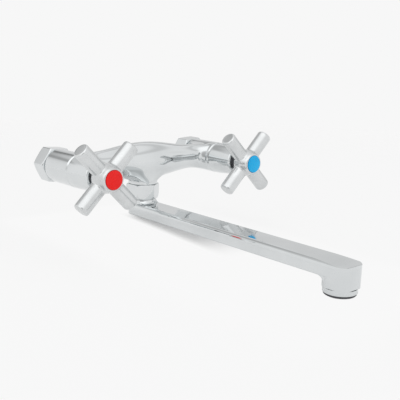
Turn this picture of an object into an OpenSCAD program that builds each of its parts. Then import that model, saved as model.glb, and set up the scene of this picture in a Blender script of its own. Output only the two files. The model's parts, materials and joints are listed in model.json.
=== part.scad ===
// Wall-mounted bridge kitchen faucet with two cross handles and a flat swinging spout.
// X runs from the hot side to the cold side, Y runs towards the wall and Z runs up.
// The origin lies midway between the two inlets, in the plane of the union nuts' wall faces.
// A station is a distance from that plane towards the user, along a valve's axis.

/* [Layout] */
// Distance between the centres of the two inlets
inlet_spacing = 150; // [140:1:170]
// Radial clearance where one metal piece turns in another
running_fit = 0.08; // [0.05:0.01:0.1]
// Gap between pieces that lie or screw against each other
assembly_gap = 0.1; // [0.05:0.01:0.15]
// Gap between two faces that pass each other as something turns
face_gap = 0.3; // [0.2:0.05:0.4]

/* [Union nuts] */
// Width across the flats of a union nut
union_flats = 28; // [27.6:0.1:32]
// Angle by which a tight union nut stands turned
union_turn = 4; // [0:1:60]
// Length of a union nut
union_length = 15; // [14.5:0.1:17]
// Radius of the nut's threaded bore at the thread's crests
union_bore_r = 12.1; // [11.9:0.05:12.6]
// Length of the nut's thread
union_thread_length = 7.5; // [7:0.1:8]

/* [Inlet tails] */
// Outer radius of a tail's tube
tail_r = 9.5; // [9.2:0.05:9.8]
// Radius of a tail's water way
tail_bore_r = 6.4; // [5.5:0.1:6.6]
// Thickness of a tail's flange
tail_flange = 2.2; // [1.8:0.1:2.4]
// Length of a tail's thread inside the casting
tail_reach = 7; // [5:0.1:7.4]
// Width across the flats of a tail's key socket
tail_key_flats = 13.6; // [13.4:0.1:15]
// Thickness of an inlet gasket
gasket_thickness = 2; // [1.6:0.1:2.2]

/* [Bridge casting] */
// Radius of the casting's two end barrels
barrel_r = 14; // [13.5:0.1:16]
// Length of an end barrel
barrel_length = 35.6; // [35:0.1:40]
// Distance from a barrel's wall face to the bridge's axis
bridge_offset = 17.1; // [16:0.1:18]
// Radius of the bridge at its middle
bridge_mid_r = 16.8; // [16.4:0.1:19]
// Radius of the bridge where it is thinnest, beside the barrels
bridge_waist_r = 10.4; // [9.5:0.1:12]
// Height of the bridge's axis above the valves' axes
bridge_rise = 0.7; // [0:0.1:1.2]
// Radius of the casting's round neck above the spout nut
neck_r = 13; // [12.8:0.1:13.6]
// Depth of the neck's lower face below the valves' axes
neck_depth = 19.7; // [19.4:0.1:24]
// Radius of the threaded spigot below the neck
spigot_r = 11; // [10.8:0.1:11.2]
// Length of the threaded spigot
spigot_length = 6.3; // [5:0.1:7]
// Radius of the mixing channel through the bridge
channel_r = 5.2; // [4:0.1:5.4]
// Radius of the valve chamber in a barrel
chamber_r = 10.3; // [10.1:0.05:10.5]
// Depth of the valve chamber from the barrel's front
chamber_depth = 24; // [22:0.1:24.8]
// Radius of the hole in a valve's seat
seat_hole_r = 5; // [4:0.1:5.4]

/* [Valves] */
// Radius of a valve housing inside its chamber
housing_r = 8.9; // [8.8:0.05:9.2]
// Length of the housing's screwed section inside the barrel
housing_thread_length = 7; // [6:0.1:8]
// Radius of the housing's round flange on the barrel
housing_flange_r = 11.2; // [11:0.05:11.4]
// Thickness of that flange
housing_flange = 2; // [1.6:0.1:2.4]
// Width across the flats of the housing's hexagon
housing_flats = 19; // [18:0.1:19.2]
// Length of the housing's hexagon
housing_hex_length = 7; // [6:0.1:8]
// Radius of the housing's upper neck, which carries the shroud
housing_neck_r = 6.8; // [6.6:0.05:7]
// Thickness of the washer under the housing's flange
washer_thickness = 0.9; // [0.7:0.1:1.2]
// Thickness of one ceramic disc
disc_thickness = 2.4; // [2:0.1:2.6]
// Radius of the ceramic discs
disc_r = 7.4; // [7.2:0.05:7.5]
// Thickness of the rubber seat ring
seat_ring_thickness = 2.4; // [2:0.1:2.6]
// Radius of the spindle's shaft
spindle_r = 4; // [3.8:0.05:4.2]
// Thickness of the spindle's foot
spindle_foot = 3; // [2.5:0.1:3.5]

/* [Shrouds] */
// Length of the shroud that hides a valve's upper part
shroud_length = 26.1; // [24:0.1:27]
// Radius of the shroud's front edge
shroud_front_r = 12; // [11.6:0.1:12.6]
// Thickness of the shroud's side wall
shroud_wall = 1.2; // [1:0.1:1.4]
// Thickness of the shroud's front wall
shroud_face = 3.2; // [2.6:0.1:3.8]
// Radius of the black stop ring behind a handle
stop_ring_r = 8; // [7.6:0.1:8.6]
// Length of the stop ring
stop_ring_length = 2.5; // [2.4:0.1:3.4]

/* [Handles] */
// Radius of a handle's hub
hub_r = 9.5; // [9.2:0.1:10.5]
// Length of the hub up to its front rim
hub_length = 17.6; // [17:0.1:19]
// Radius of the hub's swell between the arms
hub_swell_r = 11.7; // [10.8:0.1:12.6]
// Distance from the hub's rear face to the back of the arms
arm_setback = 0.3; // [0.2:0.1:1]
// Distance from the hub's axis to the end of an arm
arm_reach = 33; // [28:0.5:35]
// Radius of an arm
arm_r = 6.5; // [6:0.1:6.7]
// Radius of the rounded edge at an arm's end
arm_edge = 1.5; // [0.6:0.1:2]
// Radius of the coloured index button
button_r = 7.5; // [7.2:0.1:7.8]
// Thickness of the index button's rim
button_thickness = 1.6; // [1.2:0.1:2]
// Radius of the screw head's pocket in the hub
pocket_r = 4.2; // [4:0.1:4.6]
// Length of the spindle inside the hub
spindle_grip = 8.5; // [8:0.1:9]

/* [Spout joint] */
// Width across the flats of the spout nut
spout_nut_flats = 26.2; // [26:0.1:28]
// Thickness of the inward lip at the nut's foot
spout_nut_lip = 3.8; // [3.4:0.1:4]
// Angle at which the spout nut stands when it is tight
spout_nut_turn = 36; // [0:1:60]
// Radius of the spout's swivel tube
swivel_r = 8; // [7.8:0.05:8.2]
// Radius of the water way in the swivel tube
swivel_bore_r = 5; // [4.4:0.1:5.2]
// Length of the swivel tube inside its socket
swivel_reach = 14; // [13:0.1:15]
// Thickness of the split ring that holds the spout up
split_ring = 1.8; // [1.6:0.1:2]
// Thickness of the slide washer under the split ring
slide_washer = 1; // [0.8:0.1:1.1]

/* [Spout] */
// Distance from the swivel's axis to the outlet's axis
spout_reach = 223.7; // [120:0.1:320]
// Width of the spout
spout_width = 25; // [24.8:0.1:27]
// Thickness of the spout at the swivel
spout_thickness = 10.6; // [10.2:0.1:12]
// How much lower the spout's top is at the outlet than at the swivel, before it curves down
spout_drop = 0.2; // [0.1:0.1:0.6]
// Height of the round collar between the spout nut and the spout's top
collar_height = 3.5; // [2.6:0.1:4]
// Distance from the outlet's axis to the spout's end face
spout_nose = 12.1; // [12:0.1:14]
// How far the spout's top curves down towards its end face
nose_fall = 1.9; // [1:0.1:2]
// Length over which the top curves down
nose_fall_length = 44; // [30:1:60]
// Plan radius of the spout's front corners
nose_r = 9.6; // [4:0.1:10]
// Radius of the spout's rounded upper edges
crown_r = 3.3; // [2:0.1:3.6]
// Radius of the spout's rounded lower edges
edge_r = 1; // [0.6:0.1:2]
// Radius of the fillet between the spout's underside and the outlet's boss
boss_fillet = 4.5; // [3:0.1:5.5]
// Depth of the outlet's boss below the spout
boss_depth = 7.7; // [7.4:0.1:12]
// Thickness of the spout's walls round its water way
spout_wall = 2.2; // [1.6:0.1:2.4]

/* [Aerator] */
// Outer radius of the aerator's chrome housing
aerator_r = 12; // [11.5:0.05:12.1]
// Height of the housing that shows below the spout
aerator_height = 4; // [3.6:0.1:6]
// Radius of the housing's thread inside the boss
aerator_thread_r = 10.7; // [10.4:0.05:10.8]
// Length of that thread
aerator_thread_length = 6.5; // [6:0.1:7]
// Radius of the plastic insert that mixes air into the water
insert_r = 9.2; // [9:0.05:9.3]
// Thickness of the insert's dark rim below the housing
insert_rim = 1.3; // [0.6:0.1:1.6]

/* [Hidden] */
$fn = 64;

// Colours as the photograph shows them
chrome = [0.82, 0.84, 0.85];
brass = [0.78, 0.62, 0.32];
rubber_black = [0.08, 0.08, 0.08];
plastic_black = [0.05, 0.05, 0.06];
ceramic_white = [0.93, 0.92, 0.88];
nylon_white = [0.88, 0.88, 0.84];
hot_red = [0.90, 0.16, 0.15];
cold_blue = [0.20, 0.68, 0.92];
steel_grey = [0.65, 0.66, 0.68];

// Sides, turns and counts
hot = -1;
cold = 1;
half_turn = 180;
three_quarters = 270;
quarter_turn = 90;
eighth_turn = 45;
arm_count = 4;
window_count = 4;
corner_share = 1 / cos(30);
curve_steps = 8;
profile_steps = 40;
shroud_steps = 10;
plan_steps = 24;
overrun = 1;

// Stations along a valve's axis
gasket_station = union_thread_length;
flange_station = gasket_station + gasket_thickness;
nut_step_station = flange_station + tail_flange + face_gap;
barrel_back = union_length + face_gap;
barrel_front = barrel_back + barrel_length;
bridge_station = barrel_back + bridge_offset;
seat_station = barrel_front - chamber_depth;
fixed_disc_station = seat_station + seat_ring_thickness;
turning_disc_station = fixed_disc_station + disc_thickness;
foot_station = turning_disc_station + disc_thickness + assembly_gap;
foot_end = foot_station + spindle_foot;
housing_flange_start = barrel_front + washer_thickness;
housing_flange_end = housing_flange_start + housing_flange;
housing_hex_end = housing_flange_end + housing_hex_length;
shroud_start = barrel_front + face_gap;
shroud_end = shroud_start + shroud_length;
stop_ring_start = shroud_end + assembly_gap;
stop_ring_end = stop_ring_start + stop_ring_length;
hub_start = stop_ring_end + face_gap;
hub_end = hub_start + hub_length;
arm_station = hub_start + arm_setback + arm_r;
spindle_end = hub_start + spindle_grip;

// Union nut, tail and gasket
union_corner_r = union_flats / 2 * corner_share;
union_chamfer = 1.2;
union_chamfer_depth = 1.9;
thread_relief = 0.4;
union_relief_r = union_bore_r + thread_relief;
tail_hole_r = tail_r + assembly_gap;
tail_flange_r = union_bore_r - face_gap;
tail_end = barrel_back + tail_reach;
tail_edge = 0.6;
tail_key_depth = 6;
gasket_setback = 1;
gasket_bore_r = tail_bore_r + gasket_setback;

// Casting
barrel_edge = 0.5;
flare_inset = 0.7;
flare_end_r = barrel_r - bridge_rise - flare_inset;
flare_outside = 9;
flare_length = 16;
swell_half = inlet_spacing / 2 - barrel_r;
flare_start = swell_half - flare_outside;
swivel_socket_r = swivel_r + running_fit;
spigot_bottom = -neck_depth - spigot_length;
swivel_top = spigot_bottom + swivel_reach;
socket_top = swivel_top + face_gap;
well_r = 6.5;
spigot_edge = 0.5;

// Valve housing, discs and rings
thread_r = chamber_r - assembly_gap;
disc_bore_r = disc_r + assembly_gap;
shaft_bore_r = spindle_r + running_fit;
nose_tube_wall = 1.4;
nose_tube_r = spindle_r + nose_tube_wall;
clip_room = 2;
nose_tube_end = stop_ring_end - clip_room;
window_width = 5;
window_height = 4;
window_margin = 0.2;
port_inner_r = 2.2;
port_wall = 1.4;
port_outer_r = disc_r - port_wall;
port_angle = 76;
port_steps = 8;
seat_margin = 0.6;
seat_ring_r = housing_r - seat_margin;
seat_ring_bore_r = seat_hole_r + seat_margin;
seat_lip = 0.4;

// Spindle and what it carries
foot_margin = 0.2;
foot_r = disc_r - foot_margin;
dog_length = 1.8;
dog_inner_r = foot_r - dog_length;
dog_depth = 1.2;
dog_angle = 72;
spline_teeth = 20;
spline_depth = 0.3;
ring_groove_depth = 1.1;
ring_groove_floor = spindle_r - ring_groove_depth;
ring_groove_width = 2;
ring_groove_setback = 5;
ring_groove_station = housing_hex_end + ring_groove_setback;
ring_slack = 0.06;
ring_section = (shaft_bore_r - ring_groove_floor) / 2 - ring_slack;
ring_centre_r = (shaft_bore_r + ring_groove_floor) / 2;
clip_thickness = 0.9;
clip_groove_depth = 0.6;
clip_slack = 0.05;
clip_width = 1.6;
clip_opening = 3;
clip_station = nose_tube_end + face_gap / 2;

// Shroud and stop ring
shroud_nose = 1.8;
shroud_foot_edge = 0.4;
stop_ring_edge = 0.6;

// Handle, screw and button
hub_back_edge = 0.8;
hub_swell_share = 0.5;
hub_swell_half = arm_r * hub_swell_share;
rim_width = 1;
rim_r = button_r + rim_width;
rim_slope = 1.3;
button_fit = 0.05;
button_stand = 0.4;
button_dome = 0.6;
button_edge = 0.3;
button_back = hub_end - button_thickness;
button_top = hub_end + button_stand;
pocket_depth = 3.9;
pocket_floor = button_back - pocket_depth;
screw_r = 2;
screw_head_gap = 0.4;
screw_head_r = pocket_r - screw_head_gap;
screw_head = 2.7;
screw_head_edge = 0.5;
screw_length = 9;
screw_key_flats = 3;
screw_key_depth = 1.4;
screw_top = pocket_floor + screw_head;
plug_depth = 0.9;

// Spout nut and swivel joint, in heights
nut_top = -neck_depth - assembly_gap;
ring_top = spigot_bottom - face_gap;
ring_bottom = ring_top - split_ring;
slide_top = ring_bottom - assembly_gap;
slide_bottom = slide_top - slide_washer;
lip_top = slide_bottom - assembly_gap;
nut_bottom = lip_top - spout_nut_lip;
nut_corner_r = spout_nut_flats / 2 * corner_share;
nut_thread_r = spigot_r + assembly_gap;
nut_foot_inset = 0.4;
nut_foot_r = spout_nut_flats / 2 - nut_foot_inset;
nut_taper = 6.5;
nut_top_edge = 1;
retainer_inset = 0.2;
retainer_r = spigot_r - retainer_inset;
retainer_slot = 2;
retainer_groove_depth = 1.1;
retainer_groove_r = swivel_r - retainer_groove_depth;
swivel_groove_depth = 1.4;
swivel_groove_floor = swivel_r - swivel_groove_depth;
swivel_groove_width = 2.2;
swivel_ring_section = (swivel_socket_r - swivel_groove_floor) / 2 - ring_slack;
swivel_ring_centre_r = (swivel_socket_r + swivel_groove_floor) / 2;
upper_ring_setback = 3.5;
upper_ring_height = swivel_top - upper_ring_setback;
ring_spacing = 5;
lower_ring_height = upper_ring_height - ring_spacing;
swivel_edge = 0.8;

// Spout, in heights
collar_top = nut_bottom - face_gap;
collar_inset = 0.1;
collar_r = spout_width / 2 - collar_inset;
spout_top = collar_top - collar_height;
spout_bottom = spout_top - spout_thickness;
spout_slope = atan(spout_drop / spout_reach);
plan_step = 0.05;
fall_top = spout_top - spout_drop + plan_step;
fall_r = (nose_fall_length * nose_fall_length + nose_fall * nose_fall) / (2 * nose_fall);
nose_top = fall_top - nose_fall;
nose_edge = 1.8;
flat_half = spout_width / 2 - edge_r - plan_step;
crown_half = spout_width / 2 - crown_r - plan_step;
form_length = spout_reach + 4 * spout_width;
boss_bottom = spout_bottom - boss_depth;
boss_half = spout_width / 2 - plan_step;
boss_edge = 1;
way_bottom = spout_bottom + spout_wall;
way_top = nose_top - spout_wall;
way_half = spout_width / 2 - spout_wall;
outlet_way_r = 8.6;

// Aerator, in heights
aerator_bore_r = aerator_thread_r + assembly_gap;
aerator_gasket_thickness = 1.6;
aerator_top = boss_bottom + aerator_thread_length;
aerator_shoulder = aerator_top + aerator_gasket_thickness + assembly_gap;
aerator_bottom = boss_bottom - assembly_gap - aerator_height;
aerator_edge = 0.8;
insert_bore_r = insert_r + assembly_gap;
insert_rim_inset = 0.7;
insert_rim_r = aerator_r - insert_rim_inset;
insert_lip = 1;
gasket_overlap = 0.6;
aerator_gasket_bore_r = insert_r - gasket_overlap;
strainer_gap = 0.3;
strainer_r = aerator_gasket_bore_r - strainer_gap;
strainer_thickness = 1;
strainer_dome = 0.9;
jet_r = 0.95;
jet_pitch = 3.3;
jet_rings = 2;

// A quarter or other arc of points about a centre
function arc_points(centre, r, from, to, steps) =
    [for (i = [0 : steps])
        let (a = from + (to - from) * i / steps)
        [centre[0] + r * cos(a), centre[1] + r * sin(a)]];

// A smooth rise from nought to one
function smooth_share(t) = let (u = min(max(t, 0), 1)) u * u * (3 - 2 * u);

// Radius of the bridge at a distance from its middle
function bridge_radius(x) =
    bridge_waist_r
    + (bridge_mid_r - bridge_waist_r) * (1 + cos(half_turn * min(abs(x) / swell_half, 1))) / 2
    + (flare_end_r - bridge_waist_r) * smooth_share((abs(x) - flare_start) / flare_length);

// Radius of the shroud's outside at a share of its length
function shroud_radius(share) =
    shroud_front_r + (barrel_r - shroud_front_r) * cos(quarter_turn * share);

// Puts a child, whose z is a station, on the valve axis of one side
module on_valve(side) {
    translate([side * inlet_spacing / 2, 0, 0])
        rotate([quarter_turn, 0, 0])
            children();
}

// Puts a child on the spout's swivel axis
module on_swivel() {
    translate([0, -bridge_station, 0])
        children();
}

// Puts a child on the outlet's axis
module on_outlet() {
    translate([0, -bridge_station - spout_reach, 0])
        children();
}

// A round bore between two heights
module bore(r, from, to) {
    translate([0, 0, from])
        cylinder(r = r, h = to - from);
}

// A flat ring between two heights
module ring(inner_r, outer_r, from, to) {
    rotate_extrude()
        polygon([[inner_r, from], [outer_r, from], [outer_r, to], [inner_r, to]]);
}

// A ring of round section about the axis
module round_ring(centre_r, section_r, height) {
    rotate_extrude()
        translate([centre_r, height])
            circle(r = section_r);
}

// A hexagonal prism between two heights, with two corners on the x axis
module hexagon(flats, from, to) {
    translate([0, 0, from])
        cylinder(r = flats / 2 * corner_share, h = to - from, $fn = 6);
}

// One end barrel of the casting, before it is bored
module barrel_solid() {
    rotate_extrude()
        polygon([
            [0, barrel_back],
            [barrel_r - barrel_edge, barrel_back],
            [barrel_r, barrel_back + barrel_edge],
            [barrel_r, barrel_front - barrel_edge],
            [barrel_r - barrel_edge, barrel_front],
            [0, barrel_front]
        ]);
}

// The swelling bridge, a turned form along X
module bridge_solid() {
    half = inlet_spacing / 2;
    translate([0, -bridge_station, bridge_rise])
        rotate([0, quarter_turn, 0])
            rotate_extrude()
                polygon(concat(
                    [[0, -half]],
                    [for (i = [0 : profile_steps])
                        let (x = -half + inlet_spacing * i / profile_steps)
                        [bridge_radius(x), x]],
                    [[0, half]]
                ));
}

// The neck below the bridge and the spigot that takes the spout nut
module neck_solid() {
    rotate_extrude()
        polygon([
            [0, spigot_bottom],
            [spigot_r - spigot_edge, spigot_bottom],
            [spigot_r, spigot_bottom + spigot_edge],
            [spigot_r, -neck_depth],
            [neck_r - barrel_edge, -neck_depth],
            [neck_r, -neck_depth + barrel_edge],
            [neck_r, 0],
            [0, 0]
        ]);
}

// The brass casting with its two barrels, the bridge and the neck
module body() {
    channel_half = (inlet_spacing - chamber_r) / 2;
    color(chrome)
        difference() {
            union() {
                for (side = [hot, cold])
                    on_valve(side)
                        barrel_solid();
                bridge_solid();
                on_swivel()
                    neck_solid();
            }
            for (side = [hot, cold])
                on_valve(side) {
                    bore(tail_hole_r, barrel_back - overrun, tail_end + assembly_gap);
                    bore(seat_hole_r, tail_end, seat_station + overrun);
                    bore(chamber_r, seat_station, barrel_front + overrun);
                }
            translate([0, -bridge_station, bridge_rise])
                rotate([0, quarter_turn, 0])
                    bore(channel_r, -channel_half, channel_half);
            on_swivel() {
                bore(swivel_socket_r, spigot_bottom - overrun, socket_top);
                bore(well_r, socket_top - overrun, bridge_rise);
            }
        }
}

// The hexagonal nut that pulls an inlet onto the wall pipe
module union_nut(side) {
    on_valve(side)
        color(chrome)
            difference() {
                intersection() {
                    rotate([0, 0, side * union_turn])
                        hexagon(union_flats, 0, union_length);
                    rotate_extrude()
                        polygon([
                            [0, 0],
                            [union_corner_r - union_chamfer_depth, 0],
                            [union_corner_r, union_chamfer],
                            [union_corner_r, union_length - union_chamfer],
                            [union_corner_r - union_chamfer_depth, union_length],
                            [0, union_length]
                        ]);
                }
                bore(union_bore_r, -overrun, union_thread_length + overrun);
                bore(union_relief_r, union_thread_length, nut_step_station);
                bore(tail_r + face_gap, nut_step_station - overrun, union_length + overrun);
            }
}

// The brass tail that holds the union nut on the casting
module inlet_tail(side) {
    on_valve(side)
        color(brass)
            difference() {
                rotate_extrude()
                    polygon([
                        [0, flange_station],
                        [tail_flange_r, flange_station],
                        [tail_flange_r, flange_station + tail_flange],
                        [tail_r, flange_station + tail_flange],
                        [tail_r, tail_end - tail_edge],
                        [tail_r - tail_edge, tail_end],
                        [0, tail_end]
                    ]);
                bore(tail_bore_r, flange_station - overrun, tail_end + overrun);
                hexagon(tail_key_flats, flange_station - overrun, flange_station + tail_key_depth);
            }
}

// The flat rubber gasket against the wall pipe
module inlet_gasket(side) {
    on_valve(side)
        color(rubber_black)
            ring(gasket_bore_r, tail_flange_r, gasket_station, flange_station);
}

// The rubber ring that seals the valve on its seat
module valve_seat_ring(side) {
    on_valve(side)
        color(rubber_black)
            rotate_extrude()
                polygon([
                    [seat_ring_bore_r, seat_station + seat_lip],
                    [seat_ring_bore_r + seat_lip, seat_station],
                    [seat_ring_r - seat_lip, seat_station],
                    [seat_ring_r, seat_station + seat_lip],
                    [seat_ring_r, fixed_disc_station],
                    [seat_ring_bore_r, fixed_disc_station]
                ]);
}

// A flat piece of a ring between two radii, over an angle about the x axis
module sector_outline(inner_r, outer_r, angle) {
    polygon(concat(
        arc_points([0, 0], outer_r, -angle / 2, angle / 2, port_steps),
        arc_points([0, 0], inner_r, angle / 2, -angle / 2, port_steps)
    ));
}

// The ceramic disc that stays in the housing
module valve_fixed_disc(side) {
    on_valve(side)
        color(ceramic_white)
            translate([0, 0, fixed_disc_station])
                difference() {
                    cylinder(r = disc_r, h = disc_thickness);
                    for (turn = [0, half_turn])
                        rotate([0, 0, turn])
                            translate([0, 0, -overrun])
                                linear_extrude(height = disc_thickness + 2 * overrun)
                                    sector_outline(port_inner_r, port_outer_r, port_angle);
                }
}

// The ceramic disc that turns with the spindle, with ports open at its rim
module valve_turning_disc(side) {
    on_valve(side)
        color(ceramic_white)
            translate([0, 0, turning_disc_station])
                difference() {
                    cylinder(r = disc_r, h = disc_thickness);
                    for (turn = [quarter_turn, -quarter_turn])
                        rotate([0, 0, turn])
                            translate([0, 0, -overrun])
                                linear_extrude(height = disc_thickness + 2 * overrun)
                                    sector_outline(port_inner_r, disc_r + overrun, port_angle);
                }
}

// The brass housing that holds the discs and the spindle and carries the shroud
module valve_housing(side) {
    on_valve(side)
        color(brass)
            difference() {
                union() {
                    bore(housing_r, fixed_disc_station, barrel_front);
                    bore(thread_r, barrel_front - housing_thread_length, housing_flange_start + overrun);
                    bore(housing_flange_r, housing_flange_start, housing_flange_end);
                    hexagon(housing_flats, housing_flange_end - housing_flange / 2, housing_hex_end);
                    bore(housing_neck_r, housing_hex_end - overrun, shroud_end);
                    bore(nose_tube_r, shroud_end - overrun, nose_tube_end);
                }
                bore(disc_bore_r, fixed_disc_station - overrun, foot_end + face_gap);
                bore(shaft_bore_r, foot_end, nose_tube_end + overrun);
                for (i = [0 : window_count - 1])
                    rotate([0, 0, i * quarter_turn])
                        translate([0, -window_width / 2, turning_disc_station + window_margin])
                            cube([housing_r + overrun, window_width, window_height]);
            }
}

// The sealing washer under the housing's flange
module housing_washer(side) {
    on_valve(side)
        color(rubber_black)
            ring(chamber_r, housing_flange_r, barrel_front, housing_flange_start);
}

// The toothed outline of the spindle's end
module spline_outline() {
    points = 2 * spline_teeth;
    polygon([for (i = [0 : points - 1])
        let (r = spindle_r - plan_step - spline_depth * (i % 2))
        [r * cos(i * 2 * half_turn / points), r * sin(i * 2 * half_turn / points)]]);
}

// The brass spindle that joins the handle to the turning disc
module spindle(side) {
    clip_floor = spindle_r - clip_groove_depth;
    clip_end = clip_station + clip_thickness + clip_slack;
    on_valve(side)
        color(brass)
            difference() {
                union() {
                    rotate_extrude()
                        polygon([
                            [0, foot_station],
                            [foot_r, foot_station],
                            [foot_r, foot_end],
                            [spindle_r, foot_end],
                            [spindle_r, ring_groove_station],
                            [ring_groove_floor, ring_groove_station],
                            [ring_groove_floor, ring_groove_station + ring_groove_width],
                            [spindle_r, ring_groove_station + ring_groove_width],
                            [spindle_r, clip_station - clip_slack],
                            [clip_floor, clip_station - clip_slack],
                            [clip_floor, clip_end],
                            [spindle_r, clip_end],
                            [spindle_r, hub_start - face_gap],
                            [0, hub_start - face_gap]
                        ]);
                    translate([0, 0, hub_start - face_gap - spline_depth])
                        linear_extrude(height = spindle_end - hub_start + face_gap + spline_depth)
                            spline_outline();
                    for (turn = [quarter_turn, -quarter_turn])
                        rotate([0, 0, turn])
                            translate([0, 0, foot_station - dog_depth])
                                linear_extrude(height = dog_depth + spindle_foot / 2)
                                    sector_outline(dog_inner_r, foot_r - plan_step, dog_angle);
                }
                bore(screw_r + clip_slack, pocket_floor - screw_length - overrun, spindle_end + overrun);
            }
}

// The rubber ring in the spindle's groove
module spindle_o_ring(side) {
    on_valve(side)
        color(rubber_black)
            round_ring(ring_centre_r, ring_section, ring_groove_station + ring_groove_width / 2);
}

// The open steel ring that keeps the spindle in its housing
module spindle_clip(side) {
    inner_r = spindle_r - clip_groove_depth + clip_slack;
    on_valve(side)
        color(steel_grey)
            difference() {
                ring(inner_r, inner_r + clip_width, clip_station, clip_station + clip_thickness);
                translate([0, -clip_opening / 2, clip_station - overrun])
                    cube([inner_r + clip_width + overrun, clip_opening, clip_thickness + 2 * overrun]);
            }
}

// The chrome shroud between the casting and the handle
module shroud(side) {
    nose_start = shroud_end - shroud_nose;
    side_length = nose_start - shroud_start;
    inside_length = shroud_length - shroud_face;
    outside = [for (i = [0 : shroud_steps])
        let (share = i / shroud_steps)
        [shroud_radius(share), shroud_start + shroud_foot_edge + (side_length - shroud_foot_edge) * share]];
    inside = [for (i = [shroud_steps : -1 : 0])
        let (share = i / shroud_steps)
        [shroud_radius(share) - shroud_wall, shroud_start + inside_length * share]];
    nose_centre = [shroud_front_r - shroud_nose, nose_start];
    nose_turn = quarter_turn / curve_steps;
    on_valve(side)
        color(chrome)
            rotate_extrude()
                polygon(concat(
                    [[barrel_r - shroud_foot_edge, shroud_start]],
                    outside,
                    arc_points(nose_centre, shroud_nose, nose_turn, quarter_turn, curve_steps - 1),
                    [
                        [housing_neck_r + assembly_gap, shroud_end],
                        [housing_neck_r + assembly_gap, shroud_end - shroud_face]
                    ],
                    inside
                ));
}

// The black ring round the spindle behind the handle
module stop_ring(side) {
    on_valve(side)
        color(plastic_black)
            rotate_extrude()
                polygon([
                    [nose_tube_r + assembly_gap, stop_ring_start],
                    [stop_ring_r, stop_ring_start],
                    [stop_ring_r, stop_ring_end - stop_ring_edge],
                    [stop_ring_r - stop_ring_edge, stop_ring_end],
                    [nose_tube_r + assembly_gap, stop_ring_end]
                ]);
}

// One arm of a handle, along z from the hub's axis
module handle_arm() {
    rotate_extrude()
        polygon(concat(
            [[0, 0], [arm_r, 0]],
            arc_points([arm_r - arm_edge, arm_reach - arm_edge], arm_edge, 0, quarter_turn, curve_steps),
            [[0, arm_reach]]
        ));
}

// The four-armed handle
module handle(side) {
    on_valve(side)
        color(chrome)
            difference() {
                union() {
                    rotate_extrude()
                        polygon([
                            [0, hub_start],
                            [hub_r - hub_back_edge, hub_start],
                            [hub_r, hub_start + hub_back_edge],
                            [hub_swell_r, arm_station - hub_swell_half],
                            [hub_swell_r, arm_station + hub_swell_half],
                            [hub_r, hub_end - rim_slope],
                            [rim_r, hub_end],
                            [0, hub_end]
                        ]);
                    for (i = [0 : arm_count - 1])
                        translate([0, 0, arm_station])
                            rotate([0, quarter_turn, eighth_turn + i * quarter_turn])
                                handle_arm();
                }
                bore(spindle_r + clip_slack, hub_start - overrun, spindle_end + face_gap);
                bore(screw_r + assembly_gap, spindle_end, pocket_floor + overrun);
                bore(pocket_r, pocket_floor, hub_end);
                bore(button_r + button_fit, button_back, hub_end + overrun);
            }
}

// The screw that holds the handle on the spindle
module handle_screw(side) {
    on_valve(side)
        color(steel_grey)
            difference() {
                rotate_extrude()
                    polygon([
                        [0, pocket_floor - screw_length],
                        [screw_r, pocket_floor - screw_length],
                        [screw_r, pocket_floor],
                        [screw_head_r, pocket_floor],
                        [screw_head_r, screw_top - screw_head_edge],
                        [screw_head_r - screw_head_edge, screw_top],
                        [0, screw_top]
                    ]);
                hexagon(screw_key_flats, screw_top - screw_key_depth, screw_top + overrun);
            }
}

// The coloured button that covers the screw and shows hot or cold
module index_button(side) {
    dome_r = (button_r * button_r + button_dome * button_dome) / (2 * button_dome);
    dome_angle = asin((button_r - button_edge) / dome_r);
    dome_centre = button_top + button_dome - dome_r;
    on_valve(side)
        color(side == hot ? hot_red : cold_blue)
            rotate_extrude()
                polygon(concat(
                    [
                        [0, button_back - plug_depth],
                        [pocket_r - button_fit, button_back - plug_depth],
                        [pocket_r - button_fit, button_back],
                        [button_r, button_back],
                        [button_r, button_top - button_edge]
                    ],
                    arc_points([0, dome_centre], dome_r, quarter_turn - dome_angle, quarter_turn, curve_steps)
                ));
}

// The hexagonal nut that holds the spout under the casting
module spout_nut() {
    nut_crown = nut_corner_r - nut_foot_r;
    on_swivel()
        color(chrome)
            difference() {
                intersection() {
                    rotate([0, 0, spout_nut_turn])
                        hexagon(spout_nut_flats, nut_bottom, nut_top);
                    rotate_extrude()
                        polygon(concat(
                            [[0, nut_bottom]],
                            [for (i = [0 : curve_steps])
                                let (a = quarter_turn * (1 - i / curve_steps))
                                [nut_foot_r + nut_crown * cos(a), nut_bottom + nut_taper * (1 - sin(a))]],
                            [
                                [nut_corner_r, nut_top - nut_top_edge],
                                [nut_corner_r - nut_top_edge, nut_top],
                                [0, nut_top]
                            ]
                        ));
                }
                bore(nut_thread_r, lip_top, nut_top + overrun);
                bore(swivel_r + face_gap, nut_bottom - overrun, lip_top + overrun);
            }
}

// The slippery washer on the nut's lip
module spout_slide_washer() {
    on_swivel()
        color(nylon_white)
            ring(swivel_r + face_gap / 2, retainer_r, slide_bottom, slide_top);
}

// The split ring in the swivel tube's groove, which carries the spout
module spout_split_ring() {
    on_swivel()
        color(brass)
            difference() {
                ring(retainer_groove_r + clip_slack, retainer_r, ring_bottom, ring_top);
                translate([0, -retainer_slot / 2, ring_bottom - overrun])
                    cube([retainer_r + overrun, retainer_slot, split_ring + 2 * overrun]);
            }
}

// One of the two sealing rings of the swivel tube
module swivel_o_ring(height) {
    on_swivel()
        color(rubber_black)
            round_ring(swivel_ring_centre_r, swivel_ring_section, height);
}

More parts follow.
